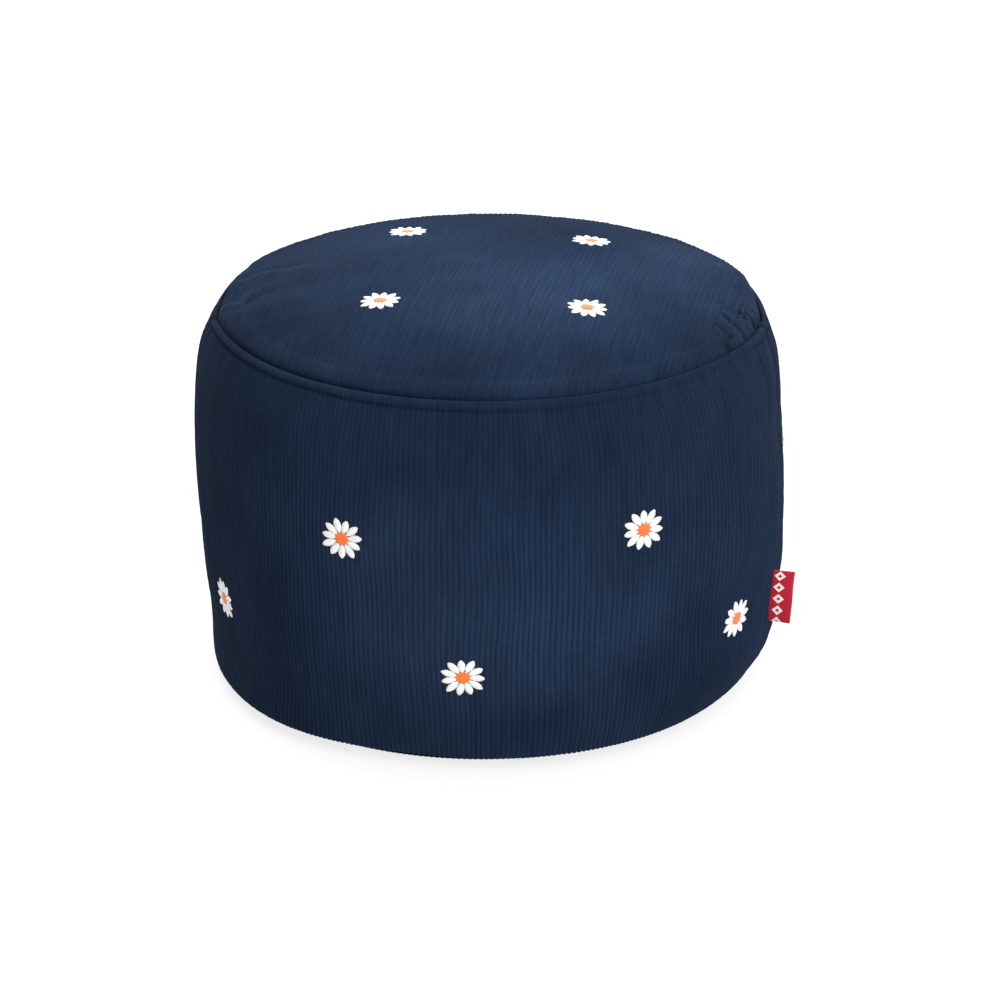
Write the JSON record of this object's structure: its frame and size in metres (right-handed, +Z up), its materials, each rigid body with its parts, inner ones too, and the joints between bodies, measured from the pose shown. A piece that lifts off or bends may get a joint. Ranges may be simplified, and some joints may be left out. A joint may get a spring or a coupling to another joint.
{
  "type": "bean bag footstool",
  "caption": "Round stuffed footstool in ribbed cloth with a domed top, a lapped top seam, upright side seams and a folded ribbon tab near the floor.",
  "frame": {"origin": "the middle of the flat face that the footstool rests on, at floor level", "axes": "+Z points up, +X to the right where the ribbon tab is, and -Y towards the viewer of the picture"},
  "size_m": [0.5031, 0.4969, 0.35],
  "materials": {
    "corduroy": "navy corduroy with a soft short pile",
    "ribbon": "red woven satin ribbon"
  },
  "bodies": {
    "root": {"side_wall": "corduroy", "top_panel": "corduroy", "base_panel": "corduroy", "side_tab": "ribbon"}
  },
  "joints": []
}
